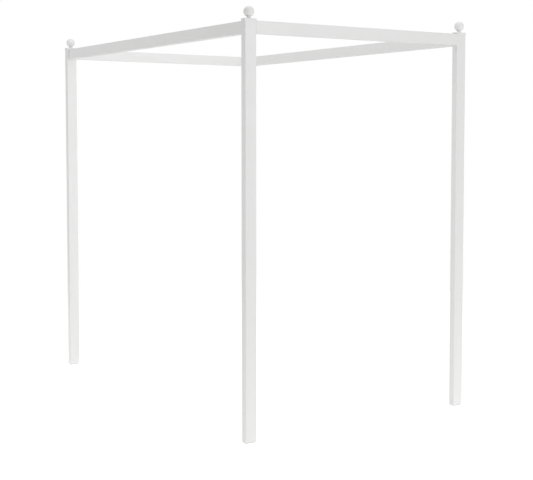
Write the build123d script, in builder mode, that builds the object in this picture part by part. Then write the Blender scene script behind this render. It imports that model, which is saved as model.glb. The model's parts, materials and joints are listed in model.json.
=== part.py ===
from build123d import *
import os
from math import acos, asin, degrees

os.makedirs("parts", exist_ok=True)

# Free-standing canopy frame for a four-poster bed, in lacquered wood. Millimetres.
# Four posts carry a ring of four rails, and each post ends in a cap plate and a ball finial.
# The origin is on the floor under the middle of the frame: +X runs along the long sides,
# +Y across the frame and +Z up. Front is -Y, rear is +Y, left is -X and right is +X.

# Overall sizes
overall_length = 2146.0  # outside to outside of the posts, along X
overall_width = 1374.0  # outside to outside of the posts, along Y
post_top = 1991.0  # floor to the top of the posts, which is also the top of the rails

# Timber sections
post_depth = 36.0  # post section along X
post_width = 60.0  # post section along Y
rail_thickness = 36.0
rail_height = 60.0
arris = 1.5  # rounded long edges of posts and rails
rail_end_ease = 0.3  # broken edge round each rail end
post_foot_chamfer = 1.5

# Cap plate on each post
cap_thickness = 9.0
cap_overhang = 2.0  # past each face of the post
cap_top_round = 2.5
cap_bottom_round = 0.8
cap_corner_radius = 2.5

# Ball finial
ball_diameter = 50.0
finial_neck_diameter = 20.0
finial_base_diameter = 27.0
finial_base_height = 1.6  # straight edge of the base, under the cove
finial_cove_height = 3.2
ball_centre_height = 32.5  # above the cap plate

# Double-ended screw that holds a finial and its cap plate on the post
finial_screw_diameter = 6.0
finial_screw_in_ball = 22.0
finial_screw_in_post = 24.0
screw_core_share = 0.72  # core diameter over thread diameter, for every screw
finial_screw_pitch = 3.0

# Wooden dowels, one above and one below each connecting bolt
dowel_diameter = 8.0
dowel_in_rail = 27.5
dowel_edge_distance = 10.0  # rail top or bottom to the middle of the dowel
dowel_web = 2.4  # wood left between a dowel hole and the finial screw's hole
dowel_chamfer = 1.0

# Connecting bolt: thread in the post, ball head inside the cam
bolt_shank_diameter = 7.0
bolt_neck_diameter = 4.0
bolt_ball_diameter = 6.6
bolt_thread_diameter = 6.0
bolt_thread_pitch = 2.75
bolt_short_of_dowel = 1.5  # the thread stops this far short of the dowels in the post

# Cam lock in the inner face of the rail
cam_distance = 34.0  # rail end to cam axis
cam_diameter = 15.0
cam_below_bolt = 5.5  # cam body past the bolt's axis
cam_sink = 0.5  # cam top below the rail's face
cam_eccentricity = 0.7  # offset of the hollow that draws the ball head in
cam_ramp_gap = 0.2  # ball head to the nearest wall of the hollow, locked
cam_slot_lead = 6.0  # degrees of slot past the bolt, locked
cam_turn = 180.0  # degrees from locked to open
cam_drive_width = 5.0  # hexagon socket, across flats
cam_drive_depth = 5.0

# Cover cap on each cam
cover_lap = 1.3  # cover cap past the edge of the cam, all round
cover_thickness = 1.2
cover_round = 0.5
cover_stem_length = 4.0

# Floor glide under each post, with its two screws
glide_thickness = 4.0
glide_inset = 3.0  # inside each face of the post
glide_edge_round = 1.0
glide_corner_radius = 3.0
glide_screw_spacing = 30.0
glide_screw_diameter = 3.5
glide_screw_head = 7.0
glide_screw_in_post = 16.0
glide_screw_pitch = 1.6
head_below_glide = 0.8  # screw head sunk above the floor

# Clearances
thread_clearance = 0.1  # on diameter, screw to its hole
dowel_clearance = 0.1  # on diameter
shank_clearance = 0.4  # on diameter, bolt shank in the rail
cam_clearance = 0.1  # on diameter, cam in its bore: a running fit
hole_end_gap = 1.0  # hole deeper than what it holds
cover_gap = 0.1  # cover cap to the rail's face, so that it turns freely

# Sizes that follow from those above
half_length = overall_length / 2
half_width = overall_width / 2
post_x = half_length - post_depth / 2
post_y = half_width - post_width / 2
rail_middle = post_top - rail_height / 2
side_rail_length = overall_length - 2 * post_depth
end_rail_length = overall_width - 2 * post_width
cap_top = post_top + cap_thickness
finial_hole_diameter = finial_screw_diameter + thread_clearance
dowel_offset = rail_height / 2 - dowel_edge_distance
dowel_hole_diameter = dowel_diameter + dowel_clearance
dowel_in_post = post_depth / 2 - finial_hole_diameter / 2 - dowel_web
bolt_in_post = dowel_in_post - bolt_short_of_dowel
cam_radius = cam_diameter / 2
cover_diameter = cam_diameter + 2 * cover_lap
cam_axis_depth = rail_thickness / 2
cam_hollow_radius = bolt_ball_diameter / 2 + cam_ramp_gap + cam_eccentricity
cam_hollow_height = bolt_ball_diameter + 2 * cam_ramp_gap

corners = {
    "front_left": (-1, -1),
    "front_right": (1, -1),
    "rear_left": (-1, 1),
    "rear_right": (1, 1),
}
sides = {"front": -1, "rear": 1}
ends = {"left": -1, "right": 1}


def side_joint(x_sign, y_sign):
    """Plane where a side rail meets a post: z axis towards the rail, x axis up."""
    spot = (x_sign * (half_length - post_depth), y_sign * post_y, rail_middle)
    return Plane(origin=spot, x_dir=(0, 0, 1), z_dir=(-x_sign, 0, 0))


def end_joint(x_sign, y_sign):
    """Plane where an end rail meets a post: z axis towards the rail, x axis up."""
    spot = (x_sign * post_x, y_sign * (half_width - post_width), rail_middle)
    return Plane(origin=spot, x_dir=(0, 0, 1), z_dir=(0, -y_sign, 0))


def side_cam_face(x_sign, y_sign):
    """Plane on a side rail's inner face at a cam: z axis into the frame's middle, x axis to the post."""
    along = half_length - post_depth - cam_distance
    spot = (x_sign * along, y_sign * (post_y - rail_thickness / 2), rail_middle)
    return Plane(origin=spot, x_dir=(x_sign, 0, 0), z_dir=(0, -y_sign, 0))


def end_cam_face(x_sign, y_sign):
    """Plane on an end rail's inner face at a cam: z axis into the frame's middle, x axis to the post."""
    along = half_width - post_width - cam_distance
    spot = (x_sign * (post_x - rail_thickness / 2), y_sign * along, rail_middle)
    return Plane(origin=spot, x_dir=(0, y_sign, 0), z_dir=(-x_sign, 0, 0))


def thread_points(start, length, diameter, pitch):
    """Outline of a threaded stretch as rings: (distance, radius) pairs, from start along +distance."""
    crest = diameter / 2
    core = crest * screw_core_share
    rings = round(length / pitch)
    step = length / rings
    points = []
    for ring in range(rings):
        base = start + ring * step
        points += [(base, core), (base + step / 2, crest)]
    return points + [(start + length, core)]


# Posts
for corner, (x_sign, y_sign) in corners.items():
    with BuildPart() as post:
        with BuildSketch(Plane.XY.offset(glide_thickness)):
            with Locations((x_sign * post_x, y_sign * post_y)):
                Rectangle(post_depth, post_width)
        extrude(amount=post_top - glide_thickness)
        fillet(post.edges().filter_by(Axis.Z), arris)
        chamfer(post.faces().sort_by(Axis.Z)[0].edges(), post_foot_chamfer)
        for joint in (side_joint(x_sign, y_sign), end_joint(x_sign, y_sign)):
            with Locations(joint):
                with Locations((dowel_offset, 0), (-dowel_offset, 0)):
                    Hole(dowel_hole_diameter / 2, dowel_in_post + hole_end_gap)
            with Locations(joint):
                Hole((bolt_thread_diameter + thread_clearance) / 2, bolt_in_post + hole_end_gap)
        with Locations((x_sign * post_x, y_sign * post_y, post_top)):
            Hole(finial_hole_diameter / 2, finial_screw_in_post + hole_end_gap)
        foot = Plane((x_sign * post_x, y_sign * post_y, glide_thickness), (1, 0, 0), (0, 0, -1))
        with Locations(foot):
            with GridLocations(1, glide_screw_spacing, 1, 2):
                Hole((glide_screw_diameter + thread_clearance) / 2, glide_screw_in_post + hole_end_gap)
    post.part.label = f"post_{corner}"
    export_step(post.part, f"parts/post_{corner}.step")

# Side rails, centred on the width of the posts
for side, y_sign in sides.items():
    with BuildPart() as side_rail:
        with BuildSketch(Plane((0, y_sign * post_y, rail_middle), (0, 1, 0), (1, 0, 0))):
            Rectangle(rail_thickness, rail_height)
        extrude(amount=side_rail_length / 2, both=True)
        fillet(side_rail.edges().filter_by(Axis.X), arris)
        rail_ends = side_rail.faces().filter_by(Plane.YZ)
        chamfer(rail_ends.edges(), rail_end_ease)
        for x_sign in ends.values():
            joint = side_joint(x_sign, y_sign)
            into_rail = Plane(joint.origin, joint.x_dir, -joint.z_dir)
            with Locations(into_rail):
                with Locations((dowel_offset, 0), (-dowel_offset, 0)):
                    Hole(dowel_hole_diameter / 2, dowel_in_rail + hole_end_gap)
            with Locations(into_rail):
                Hole((bolt_shank_diameter + shank_clearance) / 2, cam_distance)
            with Locations(side_cam_face(x_sign, y_sign)):
                Hole((cam_diameter + cam_clearance) / 2, cam_axis_depth + cam_below_bolt + hole_end_gap)
    side_rail.part.label = f"side_rail_{side}"
    export_step(side_rail.part, f"parts/side_rail_{side}.step")

# End rails, flush with both faces of the posts
for end, x_sign in ends.items():
    with BuildPart() as end_rail:
        with BuildSketch(Plane((x_sign * post_x, 0, rail_middle), (1, 0, 0), (0, 1, 0))):
            Rectangle(rail_thickness, rail_height)
        extrude(amount=end_rail_length / 2, both=True)
        fillet(end_rail.edges().filter_by(Axis.Y), arris)
        rail_ends = end_rail.faces().filter_by(Plane.XZ)
        chamfer(rail_ends.edges(), rail_end_ease)
        for y_sign in sides.values():
            joint = end_joint(x_sign, y_sign)
            into_rail = Plane(joint.origin, joint.x_dir, -joint.z_dir)
            with Locations(into_rail):
                with Locations((dowel_offset, 0), (-dowel_offset, 0)):
                    Hole(dowel_hole_diameter / 2, dowel_in_rail + hole_end_gap)
            with Locations(into_rail):
                Hole((bolt_shank_diameter + shank_clearance) / 2, cam_distance)
            with Locations(end_cam_face(x_sign, y_sign)):
                Hole((cam_diameter + cam_clearance) / 2, cam_axis_depth + cam_below_bolt + hole_end_gap)
    end_rail.part.label = f"end_rail_{end}"
    export_step(end_rail.part, f"parts/end_rail_{end}.step")

# Cap plates, clamped on the posts by the finials
for corner, (x_sign, y_sign) in corners.items():
    with BuildPart() as cap_plate:
        with BuildSketch(Plane.XY.offset(post_top)):
            with Locations((x_sign * post_x, y_sign * post_y)):
                RectangleRounded(
                    post_depth + 2 * cap_overhang, post_width + 2 * cap_overhang, cap_corner_radius
                )
        extrude(amount=cap_thickness)
        fillet(cap_plate.faces().sort_by(Axis.Z)[-1].edges(), cap_top_round)
        fillet(cap_plate.faces().sort_by(Axis.Z)[0].edges(), cap_bottom_round)
        with Locations((x_sign * post_x, y_sign * post_y, cap_top)):
            Hole(finial_hole_diameter / 2, cap_thickness)
    cap_plate.part.label = f"cap_plate_{corner}"
    export_step(cap_plate.part, f"parts/cap_plate_{corner}.step")

# Ball finials, turned in one piece with their necks
neck_radius = finial_neck_diameter / 2
base_radius = finial_base_diameter / 2
ball_radius = ball_diameter / 2
cove_radius = base_radius - neck_radius
cove_centre = (base_radius, finial_base_height + cove_radius)
ball_centre = (0, ball_centre_height)
neck_angle = degrees(acos(neck_radius / ball_radius))  # from the ball's equator down to the neck
for corner, (x_sign, y_sign) in corners.items():
    upright = Plane((x_sign * post_x, y_sign * post_y, cap_top), (1, 0, 0), (0, -1, 0))
    with BuildPart() as finial:
        with BuildSketch(upright):
            with BuildLine():
                Polyline((0, 0), (base_radius, 0), (base_radius, finial_base_height))
                cove = CenterArc(cove_centre, cove_radius, 270, -90)
                ball = CenterArc(ball_centre, ball_radius, -neck_angle, 90 + neck_angle)
                Line(cove @ 1, ball @ 0)
                Line(ball @ 1, (0, 0))
            make_face()
        revolve(axis=Axis(upright.origin, (0, 0, 1)))
        with Locations(Plane(upright.origin, (1, 0, 0), (0, 0, -1))):
            Hole(finial_hole_diameter / 2, finial_screw_in_ball + hole_end_gap)
    finial.part.label = f"finial_{corner}"
    export_step(finial.part, f"parts/finial_{corner}.step")

# Double-ended screws, through the cap plates
upper_start = finial_screw_in_post + cap_thickness
screw_length = upper_start + finial_screw_in_ball
screw_radius = finial_screw_diameter / 2
for corner, (x_sign, y_sign) in corners.items():
    screw_foot = (x_sign * post_x, y_sign * post_y, post_top - finial_screw_in_post)
    along = Plane(screw_foot, (0, 0, 1), (0, 1, 0))
    with BuildPart() as finial_screw:
        with BuildSketch(along):
            with BuildLine():
                thread = (finial_screw_diameter, finial_screw_pitch)
                lower = thread_points(0, finial_screw_in_post, *thread)
                middle = [(finial_screw_in_post, screw_radius), (upper_start, screw_radius)]
                upper = thread_points(upper_start, finial_screw_in_ball, *thread)
                Polyline((0, 0), *lower, *middle, *upper, (screw_length, 0), close=True)
            make_face()
        revolve(axis=Axis(along.origin, along.x_dir))
    finial_screw.part.label = f"finial_screw_{corner}"
    export_step(finial_screw.part, f"parts/finial_screw_{corner}.step")

# Wooden dowels, four at each corner
for corner, (x_sign, y_sign) in corners.items():
    with BuildPart() as dowels:
        for joint in (side_joint(x_sign, y_sign), end_joint(x_sign, y_sign)):
            with BuildSketch(joint.offset(-dowel_in_post)):
                with Locations((dowel_offset, 0), (-dowel_offset, 0)):
                    Circle(dowel_diameter / 2)
            extrude(amount=dowel_in_post + dowel_in_rail)
        chamfer(dowels.edges().filter_by(GeomType.CIRCLE), dowel_chamfer)
    dowels.part.label = f"dowels_{corner}"
    export_step(dowels.part, f"parts/dowels_{corner}.step")

# Connecting bolts, two at each corner: distance runs from the post's face into the post
shank_radius = bolt_shank_diameter / 2
bolt_neck_radius = bolt_neck_diameter / 2
bolt_ball_radius = bolt_ball_diameter / 2
shank_end = -(cam_distance - cam_radius - shank_clearance)
ball_side = -cam_distance + (bolt_ball_radius**2 - bolt_neck_radius**2) ** 0.5
for corner, (x_sign, y_sign) in corners.items():
    with BuildPart() as cam_bolts:
        for joint in (side_joint(x_sign, y_sign), end_joint(x_sign, y_sign)):
            into_post = -joint.z_dir
            with BuildSketch(Plane(joint.origin, into_post, into_post.cross(Vector(0, 0, 1)))):
                with BuildLine():
                    ThreePointArc(
                        (-cam_distance - bolt_ball_radius, 0),
                        (-cam_distance, bolt_ball_radius),
                        (ball_side, bolt_neck_radius),
                    )
                    thread = thread_points(0, bolt_in_post, bolt_thread_diameter, bolt_thread_pitch)
                    Polyline(
                        (ball_side, bolt_neck_radius),
                        (shank_end, bolt_neck_radius),
                        (shank_end, shank_radius),
                        (0, shank_radius),
                        *thread,
                        (bolt_in_post, 0),
                        (-cam_distance - bolt_ball_radius, 0),
                    )
                make_face()
            revolve(axis=Axis(joint.origin, into_post))
    cam_bolts.part.label = f"cam_bolts_{corner}"
    export_step(cam_bolts.part, f"parts/cam_bolts_{corner}.step")

# Cam locks and their cover caps: distances run from the rail's inner face into the rail
bolt_window = bolt_ball_diameter + 2 * cam_ramp_gap
slot_height = bolt_neck_diameter + 2 * cam_ramp_gap
slot_reach = cam_diameter  # the slot and the window run out past the cam's wall
slot_lead = cam_slot_lead + degrees(asin(bolt_neck_radius / bolt_ball_radius))
for corner, (x_sign, y_sign) in corners.items():
    faces = {"side": side_cam_face(x_sign, y_sign), "end": end_cam_face(x_sign, y_sign)}
    for rail, face in faces.items():
        into_rail = Plane(face.origin, face.x_dir, -face.z_dir)
        with BuildPart() as cam:
            with BuildSketch(into_rail.offset(cam_sink)):
                Circle(cam_radius)
            extrude(amount=cam_axis_depth + cam_below_bolt - cam_sink)
            chamfer(cam.edges().filter_by(GeomType.CIRCLE), cam_clearance)
            with BuildSketch(into_rail.offset(cam_axis_depth - cam_hollow_height / 2)):
                with Locations((-cam_eccentricity, 0)):
                    Circle(cam_hollow_radius)
            extrude(amount=cam_hollow_height, mode=Mode.SUBTRACT)
            with BuildSketch(into_rail.offset(cam_axis_depth - slot_height / 2)):
                with BuildLine():
                    rim = CenterArc((0, 0), slot_reach, -slot_lead, slot_lead + cam_turn)
                    Line((0, 0), rim @ 0)
                    Line(rim @ 1, (0, 0))
                make_face()
            extrude(amount=slot_height, mode=Mode.SUBTRACT)
            window_plane = Plane(into_rail.offset(cam_axis_depth).origin, into_rail.z_dir, -into_rail.x_dir)
            with BuildSketch(window_plane):
                Circle(bolt_window / 2)
            extrude(amount=slot_reach, mode=Mode.SUBTRACT)
            with BuildSketch(into_rail.offset(cam_sink)):
                RegularPolygon(cam_drive_width / 2, 6, major_radius=False)
            extrude(amount=cam_drive_depth, mode=Mode.SUBTRACT)
        cam.part.label = f"cam_{rail}_{corner}"
        export_step(cam.part, f"parts/cam_{rail}_{corner}.step")

        with BuildPart() as cover:
            with BuildSketch(face.offset(cover_gap)):
                Circle(cover_diameter / 2)
            extrude(amount=cover_thickness)
            outer_face = cover.faces().sort_by(Axis(face.origin, face.z_dir))[-1]
            fillet(outer_face.edges(), cover_round)
            with BuildSketch(into_rail.offset(-cover_gap)):
                RegularPolygon(cam_drive_width / 2, 6, major_radius=False)
            extrude(amount=cam_sink + cover_stem_length)
        cover.part.label = f"cam_cover_{rail}_{corner}"
        export_step(cover.part, f"parts/cam_cover_{rail}_{corner}.step")

# Floor glides
for corner, (x_sign, y_sign) in corners.items():
    with BuildPart() as glide:
        with BuildSketch():
            with Locations((x_sign * post_x, y_sign * post_y)):
                RectangleRounded(
                    post_depth - 2 * glide_inset, post_width - 2 * glide_inset, glide_corner_radius
                )
        extrude(amount=glide_thickness)
        fillet(glide.faces().sort_by(Axis.Z)[0].edges(), glide_edge_round)
        underside = Plane((x_sign * post_x, y_sign * post_y, 0), (1, 0, 0), (0, 0, -1))
        with Locations(underside.offset(-head_below_glide)):
            with GridLocations(1, glide_screw_spacing, 1, 2):
                CounterSinkHole(
                    (glide_screw_diameter + thread_clearance) / 2,
                    (glide_screw_head + thread_clearance) / 2,
                    glide_thickness,
                    90,
                )
    glide.part.label = f"glide_{corner}"
    export_step(glide.part, f"parts/glide_{corner}.step")

# Countersunk screws of the glides, two at each
head_radius = glide_screw_head / 2
glide_screw_radius = glide_screw_diameter / 2
for corner, (x_sign, y_sign) in corners.items():
    with BuildPart() as glide_screws:
        for y_step in (-1, 1):
            spot_y = y_sign * post_y + y_step * glide_screw_spacing / 2
            along = Plane((x_sign * post_x, spot_y, head_below_glide), (0, 0, 1), (0, 1, 0))
            tip = glide_thickness - head_below_glide + glide_screw_in_post
            cone_end = head_radius - glide_screw_radius
            with BuildSketch(along):
                with BuildLine():
                    head = [(0, 0), (0, head_radius), (cone_end, glide_screw_radius)]
                    thread = thread_points(cone_end, tip - cone_end, glide_screw_diameter, glide_screw_pitch)
                    Polyline(*head, *thread, (tip, 0), close=True)
                make_face()
            revolve(axis=Axis(along.origin, along.x_dir))
    glide_screws.part.label = f"glide_screws_{corner}"
    export_step(glide_screws.part, f"parts/glide_screws_{corner}.step")
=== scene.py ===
"""Looks of a free-standing canopy frame for a four-poster bed, in white lacquered wood.

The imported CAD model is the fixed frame. Posts, rails, cams and glides keep their CAD shape and get their
finish here. Cap plates, finials, covers, dowels and threaded pieces are made again in more detail, inside the
space of the CAD nodes that they stand for. Everything is in metres.
"""

import json
import logging
import math
from dataclasses import dataclass, field
from enum import Enum
from typing import Any, Iterable

import bpy
import numpy as np
from mathutils import Matrix, Vector

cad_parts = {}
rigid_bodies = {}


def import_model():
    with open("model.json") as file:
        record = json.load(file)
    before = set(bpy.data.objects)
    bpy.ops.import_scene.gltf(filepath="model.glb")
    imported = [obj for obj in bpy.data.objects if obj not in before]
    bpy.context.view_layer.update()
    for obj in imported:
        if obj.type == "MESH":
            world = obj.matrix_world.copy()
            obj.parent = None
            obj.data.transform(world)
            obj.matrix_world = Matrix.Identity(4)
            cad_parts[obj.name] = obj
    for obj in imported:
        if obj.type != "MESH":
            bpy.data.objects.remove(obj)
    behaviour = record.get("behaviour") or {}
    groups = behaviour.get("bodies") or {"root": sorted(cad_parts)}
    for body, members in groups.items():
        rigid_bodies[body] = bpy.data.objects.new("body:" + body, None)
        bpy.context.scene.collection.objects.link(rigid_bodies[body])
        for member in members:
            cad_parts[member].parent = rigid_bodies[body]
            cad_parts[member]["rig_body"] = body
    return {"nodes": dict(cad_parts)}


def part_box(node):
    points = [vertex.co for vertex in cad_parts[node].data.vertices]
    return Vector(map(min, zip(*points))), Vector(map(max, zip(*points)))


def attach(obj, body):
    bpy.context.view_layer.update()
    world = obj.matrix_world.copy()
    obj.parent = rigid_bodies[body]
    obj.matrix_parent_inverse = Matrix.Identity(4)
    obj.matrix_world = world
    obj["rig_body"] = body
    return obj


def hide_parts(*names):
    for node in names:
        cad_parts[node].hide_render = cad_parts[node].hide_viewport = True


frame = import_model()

LOG = logging.getLogger("canopy_frame")
MM = 0.001
WHITE = (1.0, 1.0, 1.0, 1.0)
Socket = bpy.types.NodeSocket
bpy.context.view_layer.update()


# ---------------------------------------------------------------------------------------------------------
# Names
# ---------------------------------------------------------------------------------------------------------


class Rail(Enum):
    """The two kinds of rail, one of each at every corner."""

    SIDE = "side"
    END = "end"

    @property
    def axis(self) -> int:
        """The row axis that the rail runs along."""
        return 0 if self is Rail.SIDE else 1


class Corner(Enum):
    """The four corners, each with the signs of its X and Y."""

    FRONT_LEFT = (-1, -1)
    FRONT_RIGHT = (1, -1)
    REAR_LEFT = (-1, 1)
    REAR_RIGHT = (1, 1)

    @property
    def label(self) -> str:
        """The corner's name as the CAD nodes spell it."""
        return self.name.lower()

    def node_of(self, rail: Rail) -> str:
        """Names one of the two rails that end at this corner.

        Args:
            rail: Which of them.

        Returns:
            Its CAD node.
        """
        left_right, front_rear = self.value
        if rail is Rail.SIDE:
            return "side_rail_front" if front_rear < 0 else "side_rail_rear"
        return "end_rail_left" if left_right < 0 else "end_rail_right"

    def into_post(self, rail: Rail) -> Vector:
        """The way from a rail's end into this corner's post."""
        left_right, front_rear = self.value
        return Vector((left_right, 0, 0)) if rail is Rail.SIDE else Vector((0, front_rear, 0))

    def out_of_rail(self, rail: Rail) -> Vector:
        """The way out of a rail's inner face, towards the middle of the frame."""
        left_right, front_rear = self.value
        return Vector((0, -front_rear, 0)) if rail is Rail.SIDE else Vector((-left_right, 0, 0))


class Grain(Enum):
    """The row axis that a piece of wood's grain runs along."""

    ALONG_X = 0
    ALONG_Y = 1
    ALONG_Z = 2

    @property
    def across(self) -> tuple[int, int]:
        """The two row axes across the grain."""
        first, second = (axis for axis in range(3) if axis != self.value)
        return first, second


class Arithmetic(Enum):
    """The nodes that do sums."""

    NUMBER = "ShaderNodeMath"
    VECTOR = "ShaderNodeVectorMath"


class Slot(Enum):
    """Names of the record's material slots, which each call to install is given."""

    WHITE_LACQUER = "white_lacquer"
    BEECH = "beech"
    ZINC_PLATED_STEEL = "zinc_plated_steel"
    WHITE_PLASTIC = "white_plastic"


# ---------------------------------------------------------------------------------------------------------
# Shader building
# ---------------------------------------------------------------------------------------------------------


def linear(hex_colour: str) -> tuple[float, float, float, float]:
    """Turns an sRGB colour into the linear one that shaders use.

    Args:
        hex_colour: Six hex digits, with or without a leading #.

    Returns:
        Red, green, blue and an alpha of 1.
    """
    digits = hex_colour.lstrip("#")
    channels = [int(digits[i : i + 2], 16) / 255 for i in (0, 2, 4)]
    straight = [c / 12.92 if c <= 0.04045 else ((c + 0.055) / 1.055) ** 2.4 for c in channels]
    return (straight[0], straight[1], straight[2], 1.0)


def add_node(
    tree: bpy.types.NodeTree,
    kind: str,
    settings: dict[Any, Any] | None = None,
    links: dict[Any, Socket] | None = None,
) -> bpy.types.Node:
    """Adds one node with its settings and links.

    Args:
        tree: The node tree that gets the node.
        kind: The node's type, such as "ShaderNodeBump".
        settings: Values by input socket, named or numbered, or by the node's own property.
        links: Output sockets of other nodes, by the input socket that each feeds.

    Returns:
        The new node.
    """
    node = tree.nodes.new(kind)
    for key, value in (settings or {}).items():
        if isinstance(key, int) or key in node.inputs:
            node.inputs[key].default_value = value
        else:
            setattr(node, key, value)
    for key, source in (links or {}).items():
        tree.links.new(source, node.inputs[key])
    return node


class Recipe:
    """A material in the making, with its node tree, its Principled shader and the piece's row coordinate."""

    def __init__(self, name: str) -> None:
        """Starts the material with a Principled shader on its output.

        Args:
            name: The material's name.
        """
        self.material = bpy.data.materials.new(name)
        self.material.use_nodes = True
        self.tree = self.material.node_tree
        self.tree.nodes.clear()
        self.shader = self.node("ShaderNodeBsdfPrincipled")
        self.node("ShaderNodeOutputMaterial", links={"Surface": self.shader.outputs["BSDF"]})
        self.place: Socket = self.node("ShaderNodeTexCoord").outputs["Object"]

    def node(
        self, kind: str, settings: dict[Any, Any] | None = None, links: dict[Any, Socket] | None = None
    ) -> bpy.types.Node:
        """Adds a node to this material, as add_node does."""
        return add_node(self.tree, kind, settings, links)

    def noise(self, size_mm: float, place: Socket | None = None, **settings: float) -> Socket:
        """Adds a soft random pattern.

        Args:
            size_mm: Real size of the pattern.
            place: Its coordinate, which is the row coordinate where none is given.
            settings: The noise's other inputs, such as Detail.

        Returns:
            The pattern, from 0 to 1.
        """
        given = {"Scale": 1 / (size_mm * MM), **settings}
        links = {"Vector": self.place if place is None else place}
        return self.node("ShaderNodeTexNoise", given, links).outputs["Fac"]

    def stretched(self, scale: list[float]) -> Socket:
        """Scales the row coordinate, so that a pattern along an axis with a small factor comes out long."""
        return self.node("ShaderNodeMapping", {"Scale": scale}, {"Vector": self.place}).outputs["Vector"]

    def calculate(self, arithmetic: Arithmetic, operation: str, *terms: Any) -> Socket:
        """Adds one step of arithmetic.

        Args:
            arithmetic: On numbers or on vectors.
            operation: The node's operation, such as "MULTIPLY".
            terms: Its inputs in order, each a constant or a socket.

        Returns:
            The result.
        """
        settings = {i: term for i, term in enumerate(terms) if not isinstance(term, Socket)}
        links = {i: term for i, term in enumerate(terms) if isinstance(term, Socket)}
        node = self.node(arithmetic.value, {"operation": operation, **settings}, links)
        gives_number = arithmetic is Arithmetic.NUMBER or operation in ("LENGTH", "DOT_PRODUCT")
        return node.outputs["Value" if gives_number else "Vector"]

    def remap(self, value: Socket, low: float, high: float, start: float = 0.0, end: float = 1.0) -> Socket:
        """Maps a value onto another range.

        Args:
            value: The value.
            low: What it becomes at the start.
            high: What it becomes at the end.
            start: Start of its own range.
            end: End of its own range.

        Returns:
            The new value, held between low and high.
        """
        ranges = {"From Min": start, "From Max": end, "To Min": low, "To Max": high}
        return self.node("ShaderNodeMapRange", ranges, {"Value": value}).outputs["Result"]

    def blend(self, share: Socket, first: str | Socket, second: str) -> Socket:
        """Mixes two colours.

        Args:
            share: How much of the second colour there is.
            first: The first colour, in hex digits or as a socket.
            second: The second colour, in hex digits.

        Returns:
            The mixed colour.
        """
        mix = self.node("ShaderNodeMix", {"data_type": "RGBA", 7: linear(second)}, {0: share})
        if isinstance(first, str):
            mix.inputs[6].default_value = linear(first)
        else:
            self.tree.links.new(first, mix.inputs[6])
        return mix.outputs[2]

    def bump(self, height: Socket, strength: float, depth_mm: float, under: Socket | None = None) -> Socket:
        """Turns a height into a bent surface normal.

        Args:
            height: The height, from 0 to 1.
            strength: How much of the effect shows.
            depth_mm: What a height of 1 stands for.
            under: The normal that this one adds to, if there is one.

        Returns:
            The normal.
        """
        links = {"Height": height} | ({} if under is None else {"Normal": under})
        settings = {"Strength": strength, "Distance": depth_mm * MM}
        return self.node("ShaderNodeBump", settings, links).outputs["Normal"]

    def finish(self, links: dict[str, Socket], constants: dict[str, Any]) -> bpy.types.Material:
        """Feeds the shader.

        Args:
            links: Sockets by the shader's input.
            constants: Plain values by the shader's input.

        Returns:
            The finished material.
        """
        for name, source in links.items():
            self.tree.links.new(source, self.shader.inputs[name])
        for name, value in constants.items():
            self.shader.inputs[name].default_value = value
        return self.material


# ---------------------------------------------------------------------------------------------------------
# Finishes
# ---------------------------------------------------------------------------------------------------------


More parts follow.
